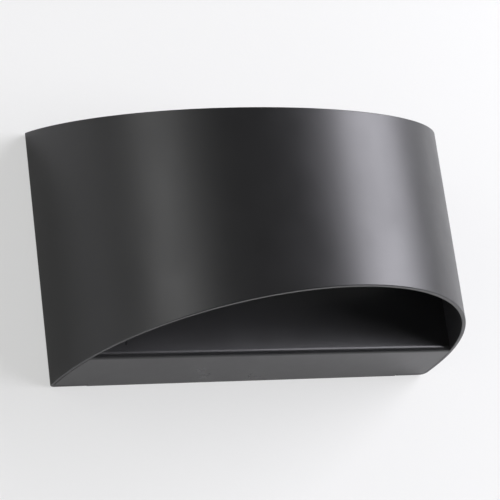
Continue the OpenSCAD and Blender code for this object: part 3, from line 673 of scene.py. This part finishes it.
def capNutShape(look):
    radius, length, bore = look["radius"], look["length"], look["bore"]
    low, high, domeFrom = look["bandFrom"], look["bandTo"], look["domeFrom"]
    dome = [(radius * math.cos(turn) * 0.97, domeFrom + (length - domeFrom) * math.sin(turn))
            for turn in map(math.radians, range(0, 90, 10))]
    corners = [(0, look["boreDepth"]), (bore, look["boreDepth"] - 0.6), (bore, 0.4), (bore + 0.4, 0),
               (radius - 0.35, 0), (radius - 0.08, 0.12), (radius - 0.02, 0.4), (radius - 0.02, low - 0.5),
               (radius - 0.3, low - 0.2), (radius - 0.3, low), (radius, low + 0.25), (radius, high - 0.25),
               (radius - 0.3, high), (radius - 0.3, high + 0.3), (radius - 0.12, high + 0.5)]
    # Four steps to a knurl, two of them pressed in
    bm = turned(corners + dome + [(0, length)], look["knurls"] * 4)
    for vertex in bm.verts:
        flat = vertex.co.xy
        if low * mm + 1e-5 < vertex.co.z < high * mm - 1e-5 and flat.length > (radius - 0.05) * mm:
            step = round((math.atan2(flat.y, flat.x) % math.tau) / math.tau * look["knurls"] * 4) % 4
            if step in (0, 1):
                vertex.co.xy = flat * (1 - look["knurlDepth"] / radius)
    return bm

def studShape(look):
    # From the tip: thread, plain shank, flange and the end riveted into the bracket
    radius = look["radius"]
    corners = threaded(radius, -look["length"], -look["threadFrom"], look["threadDepth"])
    corners += [(radius, -look["threadFrom"]), (radius, -3.95), (2.35, -3.7), (3.3, -3.7), (3.55, -3.5),
                (3.9, -1.7), (3.75, -1.5), (radius, -1.5), (radius, -0.1), (radius - 0.1, 0), (0, 0)]
    return turned(corners, 32)

def atStuds(y, axis):
    return [aim((side * boxSize["studX"], y, boxSize["studZ"]), axis) for side in bothSides]

for side, node, matrix in zip(bothSides, ("cap_nut_left", "cap_nut_right"),
                              atStuds(-capNutLook["seat"], intoRoom)):
    standFor(copiesOf(capNutShape(capNutLook), [matrix @ Matrix.Rotation(0.2 * side, 4, "Z")]), node)
washer = turned([(2.3, 0.12), (2.42, 0), (6.1, 0), (6.3, 0.2), (6.3, 0.8), (6.1, 1), (2.42, 1), (2.3, 0.88)],
                64, True)
standFor(copiesOf(washer, atStuds(-boxSize["depth"], intoRoom)), "nut_washers")
standFor(copiesOf(studShape(studLook), atStuds(0, intoWall)), "bracket_studs")
print("nuts and studs made")


# Light engine: diffusers, frames, seals, plate, boards and emitters
engineLook = {
    "rimRadius": 97.5, "domeRadius": 88.0, "back": 34.5, "sheet": 2.0, "faceTop": 17.0, "plateTop": 3.0,
    "base": 3.8, "rimTop": 5.8, "frameTop": 7.0, "screwHole": 1.6, "edge": 2.6, "leadHole": 2.4,
    "rimBeyond": 96.0,   # only the rim's edges lie beyond this
}
boardLook = {
    "radius": 85.5, "back": 37.0, "bottom": 3.0, "top": 4.6, "arcRadius": 76.0, "arcCount": 16, "spread": 110,
    "rowX": (12, 24, 36, 48), "rowY": -48.5, "emitter": (3.5, 2.8, 0.7),
    "window": ((0.42, 0), (0.12, -0.16), (0.5, 0.1)),   # width and height of each step inwards
}
carrierLook = {"radius": 97.5, "half": 3.0, "footX": 80.0, "footZ": 13.0, "foot": 3.0,
               "leadHole": 3.0, "edge": 0.4}

def holesAt(places, bottom, top, radius):
    bm = bmesh.new()
    for x, y in places:
        drill(bm, (x, y, bottom), (0, 0, 1), radius, top - bottom, segments=28)
    return bm

def makeDiffuser(look):
    radius, back, sheet, faceTop = look["domeRadius"], look["back"], look["sheet"], look["faceTop"]
    dome = halfDisc(radius, back, look["base"], faceTop, 90)
    easeEdges(dome, look["edge"], 7, 40, lambda place: place.z > faceTop - 0.1)
    # The two upright edges at the back, behind the rounding just made
    behind = -back - look["edge"] - 0.1
    easeEdges(dome, 1.2, 4, 40, lambda place: place.y > behind and place.z < faceTop)
    rim = halfDisc(look["rimRadius"], back, look["base"], look["rimTop"])
    hollow = halfDisc(radius - sheet, back + sheet, look["base"] - 1, faceTop - sheet, 90)
    easeEdges(hollow, 1.4, 4, 40, lambda place: place.z > faceTop - sheet - 0.1)
    leads = bmesh.new()
    drill(leads, (0, -back + 1, boxSize["leadZ"]), intoRoom, look["leadHole"], sheet + 2)
    bm = cutWith(joinWith(rim, dome), hollow, holesAt(rimScrews, 2, 8, look["screwHole"]), leads)
    return easeEdges(bm, 0.25, 2, 50, lambda place: place.z < look["rimTop"] + 0.05
                     and place.xy.length > look["rimBeyond"])

def makeFrame(look):
    ring = halfDisc(look["rimRadius"], look["back"], look["rimTop"], look["frameTop"])
    hollow = halfDisc(look["domeRadius"] + 0.2, look["back"] - 1, look["rimTop"] - 1, look["frameTop"] + 1)
    bm = cutWith(ring, hollow, holesAt(rimScrews, 4, 9, look["screwHole"]))
    return easeEdges(bm, 0.3, 3, 50, lambda place: place.z > look["frameTop"] - 0.05)

def makeSeal(look):
    seal = halfDisc(look["rimRadius"] - 0.1, look["back"] + 0.1, look["plateTop"], look["base"])
    hollow = halfDisc(look["domeRadius"] - look["sheet"], look["back"] + look["sheet"], 2, 5, 90)
    bm = cutWith(seal, hollow, holesAt(rimScrews, 2, 5, look["screwHole"]))
    return easeEdges(bm, 0.2, 2, 50, lambda place: place.xy.length > look["rimBeyond"])

def makeBoard(look):
    board = halfDisc(look["radius"], look["back"], look["bottom"], look["top"])
    return easeEdges(cutWith(board, holesAt(boardScrews, 2, 6, engineLook["screwHole"])), 0.12)

def emitterShape(look):
    # White package with a slightly domed yellow window
    long, wide, high = look["emitter"]
    bm = block((-long / 2, -wide / 2, 0), (long / 2, wide / 2, high), 0.1, 2)
    top = max(bm.faces, key=lambda face: face.calc_center_median().z)
    for thickness, depth in look["window"]:
        ring = bmesh.ops.inset_region(bm, faces=[top], thickness=thickness * mm, depth=depth * mm)["faces"]
    for face in (top, *ring):
        face.material_index = 1
    return bm

def makeEmitters(look):
    places = []
    for index in range(look["arcCount"]):
        turn = math.radians(-90 + look["spread"] * (index / (look["arcCount"] - 1) - 0.5))
        places.append((look["arcRadius"] * math.cos(turn), look["arcRadius"] * math.sin(turn), turn))
    places += [(side * x, look["rowY"], math.pi / 2) for side in bothSides for x in look["rowX"]]
    return copiesOf(emitterShape(look), [aim((x, y, look["top"]), roll=turn) for x, y, turn in places])

def makeConnectors():
    # Two lead holes in the back and two catches on top, on each side of the plate
    cuts = bmesh.new()
    for side in bothSides:
        drill(cuts, (side * 0.95, -42, boxSize["leadZ"]), intoRoom, 0.92, 5.4, segments=24)
        addCopy(cuts, asMesh(block((side * 3.1 - 0.9, -47.2, 9.0), (side * 3.1 + 0.9, -43.6, 10.2), 0.1, 1)))
    body = block((-5, -48.2, boardLook["top"]), (5, -42.2, 9.6), 0.35, 3)
    return copiesOf(cutWith(body, cuts), [Matrix.Diagonal((1, 1, side, 1)) for side in (1, -1)])

def makeCarrier(look):
    # The plate with its foot against the rear box
    back, half, footX, footZ = boxSize["depth"], look["half"], look["footX"], look["footZ"]
    bm = joinWith(halfDisc(look["radius"], back, -half, half),
                  block((-footX, -back - look["foot"], -footZ), (footX, -back, footZ), 0))
    bmesh.ops.dissolve_limit(bm, angle_limit=0.001, verts=bm.verts[:], edges=bm.edges[:])
    easeEdges(bm, look["edge"])
    through = [(0, side * boxSize["leadZ"], look["leadHole"]) for side in bothSides]
    through += [(x, z, clearHole) for x, z in fourWays(boxSize["carrierScrewX"], boxSize["carrierScrewZ"])]
    through.append((*boxSize["earthScrew"], clearHole))
    holes = holesAt(rimScrews + boardScrews, -5, 5, tapHole)
    for x, z, radius in through:
        drill(holes, (x, -back + 1.2, z), intoRoom, radius, 6)
    return cutWith(bm, holes)

for side in ("up", "down"):
    for make, look, node, name in ((makeDiffuser, engineLook, "diffuser", "diffuser"),
                                   (makeFrame, engineLook, "bezel", "clampFrame"),
                                   (makeSeal, engineLook, "lens_gasket", "lensSeal"),
                                   (makeBoard, boardLook, "led_board", "ledBoard"),
                                   (makeEmitters, boardLook, "leds", "emitters")):
        bm = make(look)
        if side == "down":
            bmesh.ops.transform(bm, matrix=Matrix.Diagonal((1, 1, -1, 1)), verts=bm.verts[:])
        piece = standFor(bm, node + "_" + side, name + side.title())
    piece.data.materials.clear()
    for name in ("whitePlastic", "emitterPhosphor"):
        piece.data.materials.append(slotMaterials[name])
standFor(makeConnectors(), "board_connectors")
standFor(makeCarrier(carrierLook), "led_carrier")
print("light engine made")


# Wall bracket with its earth screw and cable grommet
bracketLook = {"width": 112.0, "height": 84.0, "sheet": 1.5, "lip": 6.0, "bend": 2.2, "corner": 2.0,
               "slotX": 44.45, "slotHalf": 4.5, "slotRadius": 2.5, "boreRadius": 11.0, "studHole": 2.15,
               "groundScrew": (22, -26), "groundHole": 2.45}

def makeBracket(look):
    side, half, bend, lip = -look["width"] / 2, look["height"] / 2, look["bend"], look["lip"]
    bm = bmesh.new()
    vertex = bm.verts.new(Vector((side, -lip, half)) * mm)
    vertex = carryTo(bm, vertex, (side, -bend, half))
    vertex = carryRound(bm, vertex, (0, -bend, half - bend), (-1, 0, 0), math.pi / 2, 8)
    vertex = carryTo(bm, vertex, (side, 0, bend - half))
    vertex = carryRound(bm, vertex, (0, -bend, bend - half), (-1, 0, 0), math.pi / 2, 8)
    carryTo(bm, vertex, (side, -lip, -half))
    raiseWires(bm, (look["width"], 0, 0))
    thicken(bm, lambda face: face.calc_area(), 1, look["sheet"])
    corners = [e for e in bm.edges if all(v.co.y < (0.01 - lip) * mm and abs(v.co.x) > (-side - 0.01) * mm
                                          for v in e.verts)]
    bevelEdges(bm, corners, look["corner"], 5)
    holes = bmesh.new()
    wide = look["slotRadius"]
    for side in bothSides:
        slot = bmesh.new()
        ends = [side * look["slotX"] + end * look["slotHalf"] for end in bothSides]
        for x in ends:
            drill(slot, (x, -3, 0), intoWall, wide, 6)
        addCopy(holes, asMesh(joinWith(slot, block((ends[0], -3, -wide), (ends[1], 3, wide), 0))))
        drill(holes, (side * boxSize["studX"], -3, boxSize["studZ"]), intoWall, look["studHole"], 6)
    drill(holes, (0, -3, 0), intoWall, look["boreRadius"], 6, segments=64)
    x, z = look["groundScrew"]
    drill(holes, (x, -3, z), intoWall, look["groundHole"], 6)
    return easeEdges(cutWith(bm, holes), 0.15)

def makeSupplyGrommet():
    ring = turned([(8, -0.5), (8.5, 0), (10.4, 0), (10.95, 0.5), (10.95, 1.5), (12.7, 1.5), (13, 1.8),
                   (12.75, 2.5), (12, 3.2), (11.2, 3.5), (8.7, 3.5), (8.2, 3.3), (8, 2.9)], 72, True)
    bm = copiesOf(ring, [aim((0, 0, 0), intoRoom)])
    for vertex in bm.verts:
        vertex.co.y = min(vertex.co.y, 0)   # pressed flat where it lies on the wall
    return bm

def makeGroundScrew():
    body = turned([(0, -1.5), (2.1, -1.5), (2.4, -1.2), (2.4, 0), (4.8, 0), (5, 0.15), (5, 0.65),
                   (4.8, 0.8), (0, 0.8)])
    head = bmesh.new()
    bmesh.ops.create_cone(head, cap_ends=True, segments=6, radius1=3.9 * mm, radius2=3.9 * mm, depth=3.6 * mm,
                          matrix=Matrix.Translation((0, 0, 2.2 * mm)))
    easeEdges(head, 0.28, 3, 40)
    bm = cutWith(joinWith(body, head), block((-5, -0.55, 2.9), (5, 0.55, 5), 0))
    x, z = bracketLook["groundScrew"]
    return copiesOf(bm, [aim((x, -bracketLook["sheet"], z), intoRoom, 0.4)])

standFor(makeBracket(bracketLook), "wall_bracket")
standFor(makeSupplyGrommet(), "supply_grommet")
standFor(makeGroundScrew(), "ground_screw")
print("bracket made")


# Driver, terminal block and wiring
easedRadius = {"driver_case": 0.5, "driver_board": 0.15, "driver_transformer": 0.35, "terminal_block": 0.3,
               "lead_clips": 0.4, "earth_lug": 0.08}
lidLook = {"lid": ((-68, -12.3, -48), (16, -10.7, -14)), "lip": ((-66.2, -13.9, -46.2), (14.2, -12.2, -15.8)),
           "panel": ((-64, -11.2, -44), (12, -10, -18)), "ribs": 5, "ribHalf": 0.7, "ribY": (-11.6, -10.95)}
capacitors = ((-52, -25, 4), (-52, -37, 4), (-2, -27, 5), (-6, -40, 3.5))   # x, z and radius
terminalRows = {"x": (35, 45, 55), "z": (-29.5, -18.5), "y": -17.2}
leadThickness = {"live_lead": 2.2, "neutral_lead": 2.2, "earth_lead": 2.2,
                 "positive_leads": 1.6, "negative_leads": 1.6}
leadSwell = 0.054   # share of the thickness, makes up for what the rounding takes off

def copyOfNode(node):
    bm = bmesh.new()
    bm.from_mesh(nodes[node].data)
    merge(bm, 1e-6)
    return bm

def softened(node, radius):
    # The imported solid's own faces, joined up, with their sharp edges eased
    bm = copyOfNode(node)
    bmesh.ops.dissolve_limit(bm, angle_limit=math.radians(1), verts=bm.verts[:], edges=bm.edges[:])
    return easeEdges(bm, radius, 2, 40)

def makeLid(look):
    # A tray whose lip goes into the case, with ribs across its sunk panel
    low, high = map(Vector, look["panel"])
    bottom, top = look["ribY"]
    half, ribs = look["ribHalf"], []
    for step in range(1, look["ribs"] + 1):
        x = low.x + (high.x - low.x) * step / (look["ribs"] + 1)
        ribs.append(block((x - half, bottom, low.z + 1), (x + half, top, high.z - 1), 0.2, 2))
    tray = joinWith(block(*look["lid"], 0.55, 3), block(*look["lip"], 0))
    return joinWith(cutWith(tray, block(*look["panel"], 0.3, 2)), *ribs)

def makeCapacitors():
    bm = bmesh.new()
    for x, z, radius in capacitors:
        corners = [(0, 0), (radius - 0.3, 0), (radius, 0.3), (radius, 1.2), (radius - 0.3, 1.6),
                   (radius - 0.3, 1.9), (radius, 2.3), (radius, 9.0), (radius - 0.25, 9.5),
                   (radius - 0.6, 9.6), (radius - 0.8, 9.45), (0, 9.45)]
        cross = [block((-long, -wide, 9.25), (long, wide, 10), 0)
                 for long, wide in ((radius * 0.6, 0.12), (0.12, radius * 0.6))]
        addCopy(bm, asMesh(cutWith(turned(corners, 40), *cross)), aim((x, -26.5, z), intoWall))
    return bm

def makeTerminalScrews(rows):
    screw = cutWith(turned([(0, -4), (1.6, -4), (1.8, -3.8), (1.8, -0.25), (1.6, 0), (0, 0)], 28),
                    block((-2, -0.32, -0.9), (2, 0.32, 1), 0))
    return copiesOf(screw, [aim((x, rows["y"], z), intoWall, 0.5 + x + z)
                            for x in rows["x"] for z in rows["z"]])

def makeLeadGrommets():
    ring = turned([(2.2, 28.7), (2.35, 28.5), (4.9, 28.5), (5.2, 28.8), (5.2, 29.7), (3.95, 29.7),
                   (3.95, 31.0), (3.75, 31.2), (2.4, 31.2), (2.2, 31.0)], 48, True)
    return copiesOf(ring, [aim((0, 0, side * boxSize["leadZ"]), intoRoom) for side in bothSides])

def makeLead(node, thickness):
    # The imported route's eight-sided tube, made round
    bm = copyOfNode(node)
    bmesh.ops.join_triangles(bm, faces=bm.faces[:], angle_face_threshold=math.radians(40),
                             angle_shape_threshold=math.radians(60))
    lead = standFor(bm, node, weighted=False)
    for edge in lead.data.edges:
        edge.use_edge_sharp = False
    swell = lead.modifiers.new("fullThickness", "DISPLACE")
    swell.mid_level = 0
    swell.strength = thickness * leadSwell * mm
    smooth = lead.modifiers.new("round", "SUBSURF")
    smooth.levels = smooth.render_levels = 1

for node, radius in easedRadius.items():
    standFor(softened(node, radius), node)
standFor(makeLid(lidLook), "driver_lid")
standFor(makeCapacitors(), "driver_capacitors")
standFor(makeTerminalScrews(terminalRows), "terminal_screws")
standFor(makeLeadGrommets(), "lead_grommets")
for node, thickness in leadThickness.items():
    makeLead(node, thickness)
print("driver and wiring made")


# Wall, floor and light, in metres
roomLook = {
    "wall": (0.79, 0.795, 0.77),
    "wallGlow": 0.55,
    "wallGlossy": 0.28,
    "glowStrength": 0.9,
    "floor": (0.28, 0.28, 0.28),
    "floorGlow": 0.8,
    "floorStrength": 0.72,
    "floorGlossy": 0.0,
    "wallWidth": 5.0,
    "wallTop": 2.4,
    "floorDrop": 1.65,
    "gap": 0.0006,
    "patchX": 0.098,
    "patchZ": 0.0555,
    "worldStrength": 0.2,
    "worldSeen": 0.88,
}
# Soft boxes: power, width and height, distance, turn from the room's side towards +X,
# rise from the horizon, colour
softBoxes = {
    "keySoftBox": (36.0, (0.95, 1.5), 1.5, 48, 10, (1, 0.985, 1.07)),
    "fillSoftBox": (6.0, (0.55, 1.4), 1.5, -62, 8, (1, 1, 1)),
    "lowSoftBox": (7.0, (1.2, 0.9), 1.6, -85, -34, (1, 1, 1)),
    "backSoftBox": (10.0, (1.3, 1.3), 1.5, 165, 15, (1, 1, 1)),
}

def stageMaterial(name, color, glow, glowStrength, glossyShare, clearBehind=False, lightThrough=False):
    material, tree, shader, coords = newMaterial(name)
    cloud = noiseOf(tree, coords, 3, detail=3)
    darker = tuple(part * 0.985 for part in color)
    tree.links.new(mixColors(tree, cloud, darker, color), shader.inputs["Base Color"])
    tree.links.new(bumpFrom(tree, noiseOf(tree, coords, 700, detail=3), 0.00004), shader.inputs["Normal"])
    shader.inputs["Roughness"].default_value = 0.85
    shader.inputs["Specular IOR Level"].default_value = 0.2
    path = tree.nodes.new("ShaderNodeLightPath")
    # What the camera and reflections see is partly an even white of its own, partly the light on it
    seen = reckon(tree, path.outputs["Is Glossy Ray"], "MULTIPLY", glossyShare)
    seen = reckon(tree, seen, "ADD", path.outputs["Is Camera Ray"])
    seen = reckon(tree, seen, "ADD", path.outputs["Is Transmission Ray"])
    white = tree.nodes.new("ShaderNodeEmission")
    white.inputs["Color"].default_value = (1, 1, 1, 1)
    white.inputs["Strength"].default_value = glowStrength
    front = mixShaders(tree, reckon(tree, seen, "MULTIPLY", glow), shader.outputs[0], white.outputs[0])
    if clearBehind:
        facing = tree.nodes.new("ShaderNodeNewGeometry")
        gone = reckon(tree, facing.outputs["Backfacing"], "MULTIPLY", path.outputs["Is Camera Ray"])
        if lightThrough:
            gone = reckon(tree, gone, "ADD", path.outputs["Is Shadow Ray"])
        clear = tree.nodes.new("ShaderNodeBsdfTransparent")
        front = mixShaders(tree, gone, front, clear.outputs[0])
    tree.links.new(front, nodeOf(tree, "OUTPUT_MATERIAL").inputs["Surface"])
    return material

def stagePiece(name, bm, material):
    piece = addObject(name, asMesh(bm, name))
    piece.data.materials.append(material)
    return piece

def makeWall(look):
    # Seen from behind the wall isn't there, and light reaches the back of the lamp through its middle
    bm = bmesh.new()
    half = look["wallWidth"] / 2
    bmesh.ops.create_grid(bm, x_segments=1, y_segments=1, size=1)
    bmesh.ops.scale(bm, vec=(half, (look["wallTop"] + look["floorDrop"]) / 2, 1), verts=bm.verts[:])
    bmesh.ops.rotate(bm, verts=bm.verts[:], cent=(0, 0, 0), matrix=Matrix.Rotation(math.pi / 2, 3, "X"))
    middle = (look["wallTop"] - look["floorDrop"]) / 2
    bmesh.ops.translate(bm, verts=bm.verts[:], vec=(0, look["gap"], middle))
    for axis, edge in (((1, 0, 0), look["patchX"]), ((-1, 0, 0), look["patchX"]),
                       ((0, 0, 1), look["patchZ"]), ((0, 0, -1), look["patchZ"])):
        everything = bm.verts[:] + bm.edges[:] + bm.faces[:]
        bmesh.ops.bisect_plane(bm, geom=everything, plane_co=Vector(axis) * edge, plane_no=axis)
    for face in bm.faces:
        face.material_index = int(max(abs(c) for c in face.calc_center_median().xz) < 0.01)
    paint = (look["wall"], look["wallGlow"], look["glowStrength"], look["wallGlossy"], True)
    wall = stagePiece("wall", bm, stageMaterial("wallPaint", *paint))
    wall.data.materials.append(stageMaterial("wallPaintBehindLamp", *paint, lightThrough=True))

def makeFloor(look):
    bm = bmesh.new()
    bmesh.ops.create_grid(bm, x_segments=1, y_segments=1, size=4)
    bmesh.ops.translate(bm, verts=bm.verts[:], vec=(0, -2, -look["floorDrop"]))
    stagePiece("floor", bm, stageMaterial("paleFloor", look["floor"], look["floorGlow"],
                                          look["floorStrength"], look["floorGlossy"]))

def softBox(name, power, size, distance, turn, rise, color):
    data = bpy.data.lights.new(name, "AREA")
    data.shape = "RECTANGLE"
    data.size, data.size_y = size
    data.energy = power
    data.color = color
    lamp = addObject(name, data)
    turn, rise = math.radians(turn), math.radians(rise)
    away = Vector((math.sin(turn) * math.cos(rise), -math.cos(turn) * math.cos(rise), math.sin(rise)))
    lamp.location = away * distance
    lamp.rotation_euler = away.to_track_quat("Z", "Y").to_euler()

def lightRoom(look):
    world = bpy.data.worlds.new("softRoom")
    world.use_nodes = True
    tree = world.node_tree
    background = nodeOf(tree, "BACKGROUND")
    background.inputs["Color"].default_value = (1, 1, 1, 1)
    # The room is seen pale, and so is what shows in metal on the wall's side, but it lights the lamp softly
    path = tree.nodes.new("ShaderNodeLightPath")
    coords = tree.nodes.new("ShaderNodeTexCoord")
    parts = tree.nodes.new("ShaderNodeSeparateXYZ")
    tree.links.new(coords.outputs["Generated"], parts.inputs[0])
    behind = reckon(tree, parts.outputs["Y"], "GREATER_THAN", 0.05)
    seen = reckon(tree, behind, "MULTIPLY", path.outputs["Is Glossy Ray"])
    seen = reckon(tree, seen, "ADD", path.outputs["Is Camera Ray"])
    seen = reckon(tree, seen, "ADD", path.outputs["Is Transmission Ray"])
    strength = spread(tree, seen, look["worldStrength"], look["worldSeen"], 0, 1)
    tree.links.new(strength, background.inputs["Strength"])
    bpy.context.scene.world = world
    for name, facts in softBoxes.items():
        softBox(name, *facts)

makeWall(roomLook)
makeFloor(roomLook)
lightRoom(roomLook)
bpy.context.scene.view_settings.view_transform = "Standard"
print("room made")
